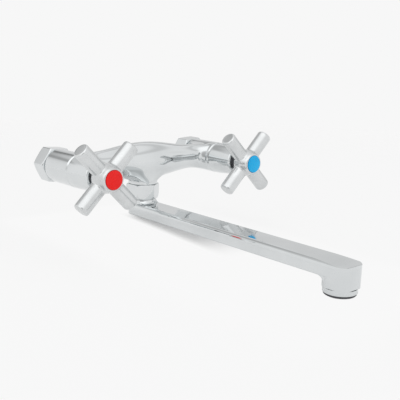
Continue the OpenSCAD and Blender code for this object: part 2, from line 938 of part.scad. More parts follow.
// The spout's tube that turns in the casting's socket, with its grooves
module swivel_tube() {
    half_groove = swivel_groove_width / 2;
    rotate_extrude()
        polygon([
            [0, spout_top - spout_wall],
            [swivel_r, spout_top - spout_wall],
            [swivel_r, ring_bottom - clip_slack],
            [retainer_groove_r, ring_bottom - clip_slack],
            [retainer_groove_r, ring_top + clip_slack],
            [swivel_r, ring_top + clip_slack],
            [swivel_r, lower_ring_height - half_groove],
            [swivel_groove_floor, lower_ring_height - half_groove],
            [swivel_groove_floor, lower_ring_height + half_groove],
            [swivel_r, lower_ring_height + half_groove],
            [swivel_r, upper_ring_height - half_groove],
            [swivel_groove_floor, upper_ring_height - half_groove],
            [swivel_groove_floor, upper_ring_height + half_groove],
            [swivel_r, upper_ring_height + half_groove],
            [swivel_r, swivel_top - swivel_edge],
            [swivel_r - swivel_edge, swivel_top],
            [0, swivel_top]
        ]);
}

// The round collar under the spout nut, with a fillet onto the spout's top in front
module spout_collar() {
    fillet_r = collar_r + collar_height;
    fillet_bottom = spout_top - spout_wall / 2;
    bore(collar_r, fillet_bottom - crown_r, collar_top);
    intersection() {
        rotate_extrude()
            polygon(concat(
                [[0, fillet_bottom], [0, collar_top]],
                arc_points([fillet_r, collar_top], collar_height, half_turn, three_quarters, curve_steps),
                [[fillet_r, fillet_bottom]]
            ));
        translate([-crown_half, -spout_width, spout_bottom])
            cube([2 * crown_half, spout_width - overrun, collar_top + overrun - spout_bottom]);
    }
}

// Draws a profile of width and height along the spout
module along_spout() {
    rotate([quarter_turn, 0, 0])
        translate([0, 0, -spout_width])
            linear_extrude(height = form_length)
                children();
}

// Draws a profile of length and height across the spout
module across_spout() {
    rotate([quarter_turn, 0, quarter_turn])
        translate([0, 0, -spout_width])
            linear_extrude(height = 2 * spout_width)
                children();
}

// Outline from above, round about an axis and squared at a reach in front of it
module spout_plan(reach, widening) {
    half = spout_width / 2 + widening;
    corner_r = nose_r + widening;
    corner_y = nose_r - reach - spout_nose;
    polygon(concat(
        arc_points([0, 0], half, 0, half_turn, plan_steps),
        arc_points([corner_r - half, corner_y], corner_r, half_turn, three_quarters, curve_steps),
        arc_points([half - corner_r, corner_y], corner_r, -quarter_turn, 0, curve_steps)
    ));
}

// A profile with its two lower corners rounded
module keel_profile(left, right, from, to, edge) {
    polygon(concat(
        arc_points([right - edge, from + edge], edge, -quarter_turn, 0, curve_steps),
        [[right, to], [left, to]],
        arc_points([left + edge, from + edge], edge, half_turn, three_quarters, curve_steps)
    ));
}

// The profile of the spout's top, with its two upper edges rounded and its top at nought
module crown_profile() {
    half = spout_width / 2;
    polygon(concat(
        [[-half, -2 * spout_thickness], [half, -2 * spout_thickness]],
        arc_points([half - crown_r, -crown_r], crown_r, 0, quarter_turn, curve_steps),
        arc_points([crown_r - half, -crown_r], crown_r, quarter_turn, half_turn, curve_steps)
    ));
}

// The profile of the spout from the side, curving down to the rounded edge of its end
module nose_profile() {
    front = -spout_reach - spout_nose;
    fall_angle = asin((nose_fall_length - nose_edge) / fall_r);
    fall_centre = [front + nose_fall_length, fall_top - fall_r];
    edge_top = fall_centre[1] + fall_r * cos(fall_angle);
    edge_centre = [front + nose_edge, edge_top - nose_edge];
    polygon(concat(
        [[spout_width, boss_bottom], [front, boss_bottom]],
        arc_points(edge_centre, nose_edge, half_turn, quarter_turn + fall_angle, curve_steps),
        arc_points(fall_centre, fall_r, quarter_turn + fall_angle, quarter_turn, curve_steps),
        [[spout_width, collar_top]]
    ));
}

// The flat bar of the spout, from the swivel to its square end
module spout_bar() {
    intersection() {
        translate([0, 0, spout_bottom - overrun])
            linear_extrude(height = spout_thickness + collar_height + overrun)
                spout_plan(spout_reach, plan_step);
        translate([0, 0, spout_top])
            rotate([spout_slope, 0, 0])
                along_spout()
                    crown_profile();
        along_spout()
            keel_profile(-spout_width / 2, spout_width / 2, spout_bottom, collar_top, edge_r);
        across_spout()
            nose_profile();
    }
}

// The boss under the spout's end, round at the back and square at the front
module outlet_boss() {
    boss_top = spout_bottom + spout_thickness / 2;
    intersection() {
        translate([0, 0, boss_bottom - overrun])
            linear_extrude(height = boss_top - boss_bottom + overrun)
                spout_plan(0, 0);
        along_spout()
            keel_profile(-boss_half, boss_half, boss_bottom, spout_top, boss_edge);
        across_spout()
            keel_profile(plan_step - spout_nose, boss_half, boss_bottom, spout_top, boss_edge);
    }
}

// The fillet behind the boss, under the bar
module boss_back_fillet() {
    fillet_r = spout_width / 2 + plan_step + boss_fillet;
    fillet_bottom = spout_bottom + plan_step - boss_fillet;
    fillet_top = spout_bottom + spout_wall / 2;
    intersection() {
        rotate_extrude()
            polygon(concat(
                [[0, fillet_bottom], [0, fillet_top], [fillet_r, fillet_top]],
                arc_points([fillet_r, fillet_bottom], boss_fillet, quarter_turn, half_turn, curve_steps)
            ));
        translate([-flat_half, overrun, fillet_bottom - overrun])
            cube([2 * flat_half, spout_width, fillet_top - fillet_bottom + 2 * overrun]);
    }
}

// Outline of the water way along the spout
module way_plan() {
    polygon(concat(
        arc_points([0, 0], way_half, 0, half_turn, plan_steps),
        arc_points([0, -spout_reach], way_half, half_turn, 2 * half_turn, plan_steps)
    ));
}

// The water way from the swivel tube to the outlet
module spout_way() {
    bore(swivel_bore_r, way_top - overrun, swivel_top + overrun);
    translate([0, 0, way_bottom])
        linear_extrude(height = way_top - way_bottom)
            way_plan();
    translate([0, -spout_reach, 0]) {
        bore(outlet_way_r, aerator_shoulder - overrun, way_bottom + overrun);
        bore(aerator_bore_r, boss_bottom - overrun, aerator_shoulder);
    }
}

// The hollow spout
module spout() {
    on_swivel()
        color(chrome)
            difference() {
                union() {
                    swivel_tube();
                    spout_collar();
                    spout_bar();
                    translate([0, -spout_reach, 0]) {
                        outlet_boss();
                        boss_back_fillet();
                    }
                }
                spout_way();
            }
}

// The rubber washer above the aerator's housing
module aerator_gasket() {
    gasket_top = aerator_top + aerator_gasket_thickness;
    on_outlet()
        color(rubber_black)
            ring(aerator_gasket_bore_r, aerator_thread_r, aerator_top, gasket_top);
}

// The holes of the aerator, on rings round the centre one
module jets(r, from, to) {
    bore(r, from, to);
    for (i = [1 : jet_rings])
        for (k = [0 : 6 * i - 1])
            rotate([0, 0, k * 2 * half_turn / (6 * i)])
                translate([i * jet_pitch, 0, 0])
                    bore(r, from, to);
}

// The domed strainer on top of the insert
module aerator_strainer() {
    on_outlet()
        color(nylon_white)
            difference() {
                rotate_extrude()
                    polygon([
                        [0, aerator_top],
                        [strainer_r, aerator_top],
                        [strainer_r, aerator_top + strainer_thickness / 2],
                        [strainer_r / 2, aerator_top + strainer_dome],
                        [0, aerator_top + strainer_dome + strainer_thickness / 4]
                    ]);
                jets(jet_r, aerator_top - overrun, aerator_top + strainer_dome + strainer_thickness);
            }
}

// The dark plastic insert with its rim and jet holes
module aerator_insert() {
    on_outlet()
        color(plastic_black)
            difference() {
                rotate_extrude()
                    polygon([
                        [0, aerator_bottom - insert_rim / 2],
                        [insert_r - insert_lip, aerator_bottom - insert_rim / 2],
                        [insert_r, aerator_bottom - insert_rim],
                        [insert_rim_r - insert_rim / 2, aerator_bottom - insert_rim],
                        [insert_rim_r, aerator_bottom - insert_rim / 2],
                        [insert_rim_r, aerator_bottom],
                        [insert_r, aerator_bottom],
                        [insert_r, aerator_top],
                        [0, aerator_top]
                    ]);
                jets(jet_r + running_fit, aerator_bottom - insert_rim - overrun, aerator_top + overrun);
            }
}

// The chrome housing that screws into the boss
module aerator_housing() {
    housing_top = boss_bottom - assembly_gap;
    on_outlet()
        color(chrome)
            rotate_extrude()
                polygon([
                    [insert_bore_r, aerator_bottom],
                    [aerator_r - aerator_edge, aerator_bottom],
                    [aerator_r, aerator_bottom + aerator_edge],
                    [aerator_r, housing_top],
                    [aerator_thread_r, housing_top],
                    [aerator_thread_r, aerator_top],
                    [insert_bore_r, aerator_top]
                ]);
}

body();
union_nut(hot);  // hot_union_nut
union_nut(cold);  // cold_union_nut
inlet_tail(hot);  // hot_inlet_tail
inlet_tail(cold);  // cold_inlet_tail
inlet_gasket(hot);  // hot_inlet_gasket
inlet_gasket(cold);  // cold_inlet_gasket
valve_seat_ring(hot);  // hot_valve_seat_ring
valve_seat_ring(cold);  // cold_valve_seat_ring
valve_fixed_disc(hot);  // hot_valve_fixed_disc
valve_fixed_disc(cold);  // cold_valve_fixed_disc
valve_turning_disc(hot);  // hot_valve_turning_disc
valve_turning_disc(cold);  // cold_valve_turning_disc
valve_housing(hot);  // hot_valve_housing
valve_housing(cold);  // cold_valve_housing
housing_washer(hot);  // hot_housing_washer
housing_washer(cold);  // cold_housing_washer
spindle(hot);  // hot_spindle
spindle(cold);  // cold_spindle
spindle_o_ring(hot);  // hot_spindle_o_ring
spindle_o_ring(cold);  // cold_spindle_o_ring
spindle_clip(hot);  // hot_spindle_clip
spindle_clip(cold);  // cold_spindle_clip
shroud(hot);  // hot_shroud
shroud(cold);  // cold_shroud
stop_ring(hot);  // hot_stop_ring
stop_ring(cold);  // cold_stop_ring
handle(hot);  // hot_handle
handle(cold);  // cold_handle
handle_screw(hot);  // hot_handle_screw
handle_screw(cold);  // cold_handle_screw
index_button(hot);  // hot_index_button
index_button(cold);  // cold_index_button
spout_nut();
spout_slide_washer();
spout_split_ring();
swivel_o_ring(upper_ring_height);  // spout_upper_o_ring
swivel_o_ring(lower_ring_height);  // spout_lower_o_ring
spout();
aerator_gasket();
aerator_strainer();
aerator_insert();
aerator_housing();
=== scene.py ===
"""Dresses the bridge kitchen faucet: finishes, smooth castings, studio and camera."""

from __future__ import annotations

import json
import logging
import math
from collections.abc import Callable
from dataclasses import dataclass
from enum import Enum

import bpy
from mathutils import Matrix, Vector

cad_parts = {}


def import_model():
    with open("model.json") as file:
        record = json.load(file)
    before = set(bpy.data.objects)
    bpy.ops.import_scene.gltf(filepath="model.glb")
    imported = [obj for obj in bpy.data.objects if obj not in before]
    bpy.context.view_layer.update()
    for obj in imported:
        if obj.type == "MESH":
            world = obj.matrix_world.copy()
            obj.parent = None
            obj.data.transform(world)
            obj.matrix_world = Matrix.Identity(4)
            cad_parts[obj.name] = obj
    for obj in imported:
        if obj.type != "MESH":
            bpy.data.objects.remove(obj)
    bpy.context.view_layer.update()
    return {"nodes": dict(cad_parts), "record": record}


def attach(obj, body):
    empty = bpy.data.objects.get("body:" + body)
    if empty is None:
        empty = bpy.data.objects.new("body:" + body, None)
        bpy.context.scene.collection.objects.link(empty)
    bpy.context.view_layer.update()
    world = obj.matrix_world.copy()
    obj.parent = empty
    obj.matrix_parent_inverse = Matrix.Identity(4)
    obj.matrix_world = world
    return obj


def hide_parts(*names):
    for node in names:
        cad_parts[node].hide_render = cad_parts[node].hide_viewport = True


Piece = bpy.types.Object
Place = tuple[float, float, float]
Span = tuple[float, float]
Colour = tuple[float, float, float, float]

LOG = logging.getLogger("faucet")
MM = 0.001
QUARTER = math.pi / 2
WHITE: Colour = (1.0, 1.0, 1.0, 1.0)
FULLY = 1.0  # crease of an edge that stays sharp
ALL: Span = (-1.0, 1.0)  # from one side of the scene to the other, in metres


class Slot(Enum):
    """The record's material slots."""

    CHROME = "chrome"
    BRASS = "brass"
    RUBBER = "rubber"
    BLACK_PLASTIC = "black_plastic"
    CERAMIC = "ceramic"
    NYLON = "nylon"
    HOT_RED = "hot_red"
    COLD_BLUE = "cold_blue"
    STEEL = "steel"


class Side(Enum):
    """The faucet's two sides, with the sign of their X."""

    HOT = -1
    COLD = 1

    @property
    def word(self) -> str:
        """The side's word in the names of nodes and bodies."""
        return self.name.lower()


class Reading:
    """A node socket that can be added, scaled and compared like a number."""

    def __init__(self, sheet: Sheet, socket: bpy.types.NodeSocket) -> None:
        """Keeps the socket and the sheet of nodes it belongs to."""
        self.sheet = sheet
        self.socket = socket

    def math(self, operation: str, *others: Reading | float) -> Reading:
        """Runs one maths operation on this value.

        Args:
            operation: The operation's name, such as MULTIPLY.
            others: The second and third values.

        Returns:
            The result as a reading.
        """
        node = self.sheet.tree.nodes.new("ShaderNodeMath")
        node.operation = operation
        for index, value in enumerate((self, *others)):
            self.sheet.put(value, node.inputs[index])
        return Reading(self.sheet, node.outputs[0])

    def __add__(self, other: Reading | float) -> Reading:
        """Sum."""
        return self.math("ADD", other)

    def __radd__(self, other: float) -> Reading:
        """Sum with the number first."""
        return self.math("ADD", other)

    def __sub__(self, other: Reading | float) -> Reading:
        """Difference."""
        return self.math("SUBTRACT", other)

    def __rsub__(self, other: float) -> Reading:
        """Difference with the number first."""
        return (self * -1.0) + other

    def __mul__(self, other: Reading | float) -> Reading:
        """Product."""
        return self.math("MULTIPLY", other)

    def __rmul__(self, other: float) -> Reading:
        """Product with the number first."""
        return self.math("MULTIPLY", other)

    def between(self, low: float, high: float) -> Reading:
        """Clamps the value and stretches low..high to 0..1, with soft ends.

        Args:
            low: The value that gives 0.
            high: The value that gives 1.

        Returns:
            The stretched value.
        """
        settings = {"clamp": True, "interpolation_type": "SMOOTHSTEP"}
        sockets = {"Value": self, "From Min": low, "From Max": high}
        return self.sheet.node("ShaderNodeMapRange", settings, sockets)["Result"]


class Outputs:
    """The outputs of one node, by name."""

    def __init__(self, sheet: Sheet, node: bpy.types.Node) -> None:
        """Keeps the node and its sheet."""
        self.sheet = sheet
        self.node = node

    def __getitem__(self, name: str) -> Reading:
        """The output of that name."""
        return Reading(self.sheet, self.node.outputs[name])


class Sheet:
    """A node tree that is filled in from settings and sockets."""

    # Where the Mix node keeps its factor and its colours.
    MIX_FACTOR, MIX_LOW, MIX_HIGH, MIX_RESULT = 0, 6, 7, 2
    GRAIN_ROUGHNESS = 0.55

    def __init__(self, tree: bpy.types.NodeTree) -> None:
        """Empties the tree."""
        self.tree = tree
        tree.nodes.clear()

    def put(self, value: object, socket: bpy.types.NodeSocket) -> None:
        """Joins a reading to a socket, or writes a plain value on it.

        Args:
            value: The reading or plain value.
            socket: The socket of a node in this tree.
        """
        if isinstance(value, Reading):
            self.tree.links.new(value.socket, socket)
        else:
            socket.default_value = value

    def node(
        self, kind: str, settings: dict[str, object], sockets: dict[str | int, object]
    ) -> Outputs:
        """Adds one node.

        Args:
            kind: The node's type name.
            settings: Its properties.
            sockets: Values or readings for its inputs, by name or number.

        Returns:
            The node's outputs.
        """
        made = self.tree.nodes.new(kind)
        for key, value in settings.items():
            setattr(made, key, value)
        for key, value in sockets.items():
            self.put(value, made.inputs[key])
        return Outputs(self, made)

    def mix(self, factor: Reading, low: object, high: object) -> Reading:
        """Blends two colours by a factor.

        Args:
            factor: 0 gives low, 1 gives high.
            low: A colour or reading.
            high: A colour or reading.

        Returns:
            The blended colour.
        """
        node = self.tree.nodes.new("ShaderNodeMix")
        node.data_type = "RGBA"
        self.put(factor, node.inputs[self.MIX_FACTOR])
        self.put(low, node.inputs[self.MIX_LOW])
        self.put(high, node.inputs[self.MIX_HIGH])
        return Reading(self, node.outputs[self.MIX_RESULT])

    def grain(self, scale: float, detail: float, stretch: Place) -> Reading:
        """Noise on Object coordinates.

        Args:
            scale: Spots to a metre.
            detail: Octaves of detail.
            stretch: Scale of the pattern along X, Y and Z.

        Returns:
            A value round 0.5.
        """
        place = self.node("ShaderNodeTexCoord", {}, {})["Object"]
        sockets = {"Vector": place, "Scale": stretch}
        turned = self.node("ShaderNodeMapping", {}, sockets)["Vector"]
        sockets = {"Vector": turned, "Scale": scale, "Detail": detail}
        sockets["Roughness"] = self.GRAIN_ROUGHNESS
        return self.node("ShaderNodeTexNoise", {}, sockets)["Fac"]

    def raised(self, height: Reading, strength: float, distance: float) -> Reading:
        """A bump normal from a height.

        Args:
            height: The height, 0 to 1.
            strength: How strongly it shows.
            distance: The height that 1 stands for, in metres.

        Returns:
            The normal.
        """
        sockets = {"Height": height, "Strength": strength, "Distance": distance}
        return self.node("ShaderNodeBump", {}, sockets)["Normal"]


@dataclass(frozen=True)
class Band:
    """A range of a value, with soft ends.

    Attributes:
        start: Between which values it sets in.
        end: Between which values it fades away.
        weight: What it gives inside.
    """

    start: Span
    end: Span
    weight: float = 1.0

    def of(self, value: Reading) -> Reading:
        """The band's weight where a value lies in it, and 0 elsewhere."""
        inside = value.between(*self.start) * (1.0 - value.between(*self.end))
        return self.weight * inside


@dataclass(frozen=True)
class Patch:
    """A round patch of directions, with a soft edge.

    Attributes:
        aim: The direction of its middle.
        edge: Cosines of the angles to the middle between which it sets in.
        weight: What it gives inside.
    """

    aim: Place
    edge: Span
    weight: float = 1.0

    def of(self, way: Reading) -> Reading:
        """Tells whether a direction lies in the patch.

        Args:
            way: The direction.

        Returns:
            The patch's weight inside, 0 elsewhere.
        """
        dot, sockets = {"operation": "DOT_PRODUCT"}, {0: way, 1: self.aim}
        near = way.sheet.node("ShaderNodeVectorMath", dot, sockets)["Value"]
        return self.weight * near.between(*self.edge)


@dataclass(frozen=True)
class Finish:
    """What every finish shares: a name, a colour and a roughness that vary a little.

    Attributes:
        name: The material's name.
        light: Colour at its palest.
        dark: Colour in hollows and stains.
        rough: Lowest and highest roughness.
        metal: Metallic value.
        grain_scale: Spots of variation to a metre.
        stretch: Stretch of the grain along X, Y and Z.
        bump: Height of the grain in metres.
        bump_strength: How strongly the grain shows.
        coat: Weight of the clear coat.
        shine: Level of the plain surface reflection.
        stain_share: Scale of the stains beside that of the grain.
        stain_detail: Octaves of the stains.
        grain_detail: Octaves of the grain.
        stain_edge: Between which noise values the dark colour sets in.
        grain_edge: Between which noise values the roughness rises.
    """

    name: str
    light: Colour
    dark: Colour
    rough: Span
    metal: float = 0.0
    grain_scale: float = 400.0
    stretch: Place = (1.0, 1.0, 1.0)
    bump: float = 0.00002
    bump_strength: float = 0.2
    coat: float = 0.0
    shine: float = 0.5
    stain_share: float = 0.08
    stain_detail: float = 3.0
    grain_detail: float = 4.0
    stain_edge: Span = (0.35, 0.7)
    grain_edge: Span = (0.3, 0.75)

    def made(self) -> bpy.types.Material:
        """Builds the material.

        Returns:
            The material, new or already made.
        """
        known = bpy.data.materials.get(self.name)
        if known is not None:
            return known
        material = bpy.data.materials.new(self.name)
        material.use_nodes = True
        sheet = Sheet(material.node_tree)
        broad = sheet.grain(
            self.grain_scale * self.stain_share, self.stain_detail, self.stretch
        )
        fine = sheet.grain(self.grain_scale, self.grain_detail, self.stretch)
        colour = sheet.mix(broad.between(*self.stain_edge), self.light, self.dark)
        low, high = self.rough
        roughness = low + (high - low) * fine.between(*self.grain_edge)
        shader = sheet.node(
            "ShaderNodeBsdfPrincipled",
            {},
            {
                "Base Color": colour,
                "Metallic": self.metal,
                "Roughness": roughness,
                "Coat Weight": self.coat,
                "Specular IOR Level": self.shine,
                "Normal": sheet.raised(fine, self.bump_strength, self.bump),
            },
        )["BSDF"]
        sheet.node("ShaderNodeOutputMaterial", {}, {"Surface": shader})
        LOG.info("finish %s", self.name)
        return material

    def cover(self, piece: Piece) -> None:
        """Makes this the only finish of a piece."""
        piece.data.materials.clear()
        piece.data.materials.append(self.made())


@dataclass(frozen=True)
class Finishes:
    """One finish for each slot of the record, and the handles' satin chrome."""

    chrome: Finish = Finish(
        "polished_chrome", (0.73, 0.75, 0.757, 1.0), (0.67, 0.692, 0.70, 1.0),
        (0.035, 0.09), metal=1.0, grain_scale=260.0, bump=0.00001, bump_strength=0.05,
    )
    satin: Finish = Finish(
        "satin_chrome", (0.70, 0.715, 0.72, 1.0), (0.64, 0.655, 0.66, 1.0),
        (0.16, 0.22), metal=1.0, grain_scale=900.0, bump=0.00001, bump_strength=0.02,
    )
    brass: Finish = Finish(
        "machined_brass", (0.80, 0.62, 0.30, 1.0), (0.62, 0.44, 0.18, 1.0),
        (0.18, 0.34), metal=1.0, grain_scale=900.0, stretch=(1.0, 8.0, 1.0),
    )
    rubber: Finish = Finish(
        "black_rubber", (0.022, 0.022, 0.024, 1.0), (0.045, 0.045, 0.046, 1.0),
        (0.55, 0.8), grain_scale=1500.0, bump=0.00004,
    )
    # Near-black with almost no shine: the black rings behind the handles and at the
    # outlet's rim are partly real black plastic and partly painted shade of the dark
    # gaps they fill.
    black_plastic: Finish = Finish(
        "black_plastic", (0.004, 0.004, 0.005, 1.0), (0.009, 0.009, 0.010, 1.0),
        (0.35, 0.55), grain_scale=1100.0, shine=0.02,
    )
    ceramic: Finish = Finish(
        "lapped_ceramic", (0.86, 0.85, 0.80, 1.0), (0.76, 0.74, 0.68, 1.0),
        (0.08, 0.2), grain_scale=1300.0, coat=0.3,
    )
    nylon: Finish = Finish(
        "white_nylon", (0.80, 0.80, 0.76, 1.0), (0.68, 0.67, 0.61, 1.0),
        (0.35, 0.55), grain_scale=900.0,
    )
    hot_red: Finish = Finish(
        "red_enamel", (0.86, 0.016, 0.014, 1.0), (0.76, 0.010, 0.010, 1.0),
        (0.22, 0.36), grain_scale=700.0, shine=0.22,
    )
    cold_blue: Finish = Finish(
        "blue_enamel", (0.020, 0.47, 0.86, 1.0), (0.012, 0.40, 0.78, 1.0),
        (0.22, 0.36), grain_scale=700.0, shine=0.22,
    )
    steel: Finish = Finish(
        "brushed_steel", (0.62, 0.63, 0.65, 1.0), (0.50, 0.51, 0.53, 1.0),
        (0.2, 0.38), metal=1.0, grain_scale=1400.0, stretch=(1.0, 6.0, 1.0),
    )

    def of(self, slot: Slot) -> Finish:
        """The finish of a slot."""
        return getattr(self, slot.value)


@dataclass(frozen=True)
class Pick:
    """A box that picks edges or faces by their place.

    Attributes:
        x: Its span along X.
        y: Its span along Y.
        z: Its span along Z.
    """

    x: Span
    y: Span = ALL
    z: Span = ALL

    def on(self, side: Side) -> Pick:
        """The box on one side, for one given on the cold side."""
        near, far = sorted(side.value * span for span in self.x)
        return Pick((near, far), self.y, self.z)

    def holds(self, place: Vector) -> bool:
        """Whether a point lies in the box."""
        spans = zip((self.x, self.y, self.z), place)
        return all(low <= value <= high for (low, high), value in spans)


@dataclass(frozen=True)
class Ring:
    """One ring of a cage that is turned about an axis.

    Attributes:
        at: Its place along the axis.
        radius: Its radius.
        sharp: Whether it stays sharp when the cage is smoothed.
    """

    at: float
    radius: float
    sharp: bool = False


@dataclass(frozen=True)
class Bore:
    """A round hole along an axis.

    Attributes:
        radius: Its radius.
        start: Where it starts along the axis.
        end: Where it ends.
    """

    radius: float
    start: float
    end: float


class Bench:
    """Small modelling moves shared by the sub-assemblies."""

    TOUCH = 0.1 * MM  # how near to a place the point at that place lies
    CUTTER_SIDES = 96
    SOFT_ANGLE = 60.0  # edges up to this angle are shaded smooth on softened pieces
    SHARP_ANGLE = 32.0  # the same on the casting
    LYING = {"X": (0, QUARTER, 0), "Y": (QUARTER, 0, 0), "Z": (0, 0, 0)}

    @staticmethod
    def clear() -> None:
        """Deselects every object."""
        bpy.ops.object.select_all(action="DESELECT")

    @staticmethod
    def take(piece: Piece) -> None:
        """Makes a piece the active and only selected one."""
        Bench.clear()
        bpy.context.view_layer.objects.active = piece
        piece.select_set(True)

    @staticmethod
    def reopen() -> None:
        """Goes back to editing the active piece."""
        bpy.ops.object.mode_set(mode="EDIT")

    @staticmethod
    def close() -> None:
        """Leaves edit mode."""
        bpy.ops.object.mode_set(mode="OBJECT")

    @staticmethod
    def edit(piece: Piece, kind: str) -> None:
        """Opens a piece for editing with nothing selected.

        Args:
            piece: The piece.
            kind: What is selected in it: VERT, EDGE or FACE.
        """
        Bench.take(piece)
        Bench.reopen()
        bpy.ops.mesh.select_mode(type=kind)
        bpy.ops.mesh.select_all(action="DESELECT")

    @staticmethod
    def pick(piece: Piece, kind: str, wanted: Callable[..., bool]) -> None:
        """Selects parts of a piece that is open for editing, and no others.

        Args:
            piece: The piece.
            kind: The parts: vertices, edges or polygons.
            wanted: Says whether a part is selected.
        """
        Bench.close()
        for part in getattr(piece.data, kind):
            part.select = wanted(part)
        Bench.reopen()

    @staticmethod
    def lift(piece: Piece, place: Vector, rise: float) -> None:
        """Lifts the point of a piece that lies at a place.

        Args:
            piece: The piece.
            place: The point's place.
            rise: How far it is lifted.
        """
        Bench.edit(piece, "VERT")
        Bench.pick(piece, "vertices", lambda v: (v.co - place).length < Bench.TOUCH)
        bpy.ops.transform.translate(value=(0, 0, rise))
        Bench.close()

    @staticmethod
    def line(piece: Piece, edge: bpy.types.MeshEdge) -> tuple[Vector, float]:
        """The middle and the length of an edge."""
        start, end = (piece.data.vertices[index].co for index in edge.vertices)
        return (start + end) / 2.0, (start - end).length

    @staticmethod
    def turned(
        name: str, axis: str, centre: Place, rings: list[Ring], count: int
    ) -> Piece:
        """Draws a tube out of a circle, ring by ring.

        Args:
            name: The piece's name.
            axis: X, Y or Z.
            centre: A point on the axis.
            rings: The rings, from one end of the tube to the other.
            count: Points to a ring, the first of them half a step round.

        Returns:
            The tube, open at both ends.
        """
        way = Vector([float(axis == letter) for letter in "XYZ"])
        tip = {
            "X": Matrix.Rotation(QUARTER, 4, "Y"),
            "Y": Matrix.Rotation(QUARTER, 4, "X"),
            "Z": Matrix.Identity(4),
        }[axis]
        lean = (Matrix.Rotation(math.pi / count, 4, axis) @ tip).to_euler()
        middles = [
            Vector(centre) + way * (ring.at - Vector(centre).dot(way)) for ring in rings
        ]
        Bench.clear()
        bpy.ops.mesh.primitive_circle_add(
            vertices=count, radius=rings[0].radius, location=middles[0], rotation=lean
        )
        piece = bpy.context.object
        piece.name = name
        bpy.ops.object.transform_apply(location=True, rotation=True, scale=True)
        Bench.reopen()
        bpy.ops.mesh.select_mode(type="EDGE")
        bpy.ops.mesh.select_all(action="SELECT")
        if rings[0].sharp:
            bpy.ops.transform.edge_crease(value=FULLY)
        for last, ring, middle in zip(rings, rings[1:], middles[1:]):
            bpy.ops.mesh.extrude_edges_move(
                TRANSFORM_OT_translate={"value": way * (ring.at - last.at)}
            )
            share = ring.radius / last.radius
            size = [1.0 if along else share for along in way]
            bpy.ops.transform.resize(value=size, center_override=middle)
            if ring.sharp:
                bpy.ops.transform.edge_crease(value=FULLY)
        Bench.close()
        return piece

    @staticmethod
    def join(pieces: list[Piece], name: str) -> Piece:
        """Joins pieces into one.

        Args:
            pieces: The pieces.
            name: The name of the one.

        Returns:
            The one.
        """
        Bench.clear()
        for piece in pieces:
            piece.select_set(True)
        bpy.context.view_layer.objects.active = pieces[0]
        bpy.ops.object.join()
        pieces[0].name = name
        pieces[0].data.name = name
        return pieces[0]

    @staticmethod
    def modify(piece: Piece, kind: str, settings: dict[str, object]) -> None:
        """Runs one modifier on a piece.

        Args:
            piece: The piece.
            kind: The modifier's type name.
            settings: Its properties.
        """
        Bench.take(piece)
        made = piece.modifiers.new(kind.lower(), kind)
        for key, value in settings.items():
            setattr(made, key, value)
        bpy.ops.object.modifier_apply(modifier=made.name)

    @staticmethod
    def cut(piece: Piece, cutters: list[Piece]) -> None:
        """Cuts closed cutters out of a piece, one by one.

        Args:
            piece: The piece.
            cutters: The cutters, which are used up.
        """
        for cutter in cutters:
            Bench.modify(
                piece,
                "BOOLEAN",
                {"operation": "DIFFERENCE", "solver": "EXACT", "object": cutter},
            )
            bpy.data.objects.remove(cutter)

    @staticmethod
    def drill(axis: str, centre: Place, bore: Bore) -> Piece:
        """Makes a closed round cutter.

        Args:
            axis: X, Y or Z.
            centre: A point on the axis.
            bore: The hole it cuts.

        Returns:
            The cutter.
        """
        middle = Vector(centre)
        middle["XYZ".index(axis)] = (bore.start + bore.end) / 2.0
        Bench.clear()
        bpy.ops.mesh.primitive_cylinder_add(
            vertices=Bench.CUTTER_SIDES,
            radius=bore.radius,
            depth=abs(bore.end - bore.start),
            location=middle,
            rotation=Bench.LYING[axis],
            end_fill_type="NGON",
        )
        bpy.ops.object.transform_apply(location=True, rotation=True, scale=True)
        return bpy.context.object

    @staticmethod
    def polish(piece: Piece, angle: float) -> None:
        """Shades a piece smooth, apart from its sharp edges.

        Args:
            piece: The piece.
            angle: From how many degrees on an edge is sharp.
        """
        Bench.take(piece)
        bpy.ops.object.shade_smooth_by_angle(angle=math.radians(angle))


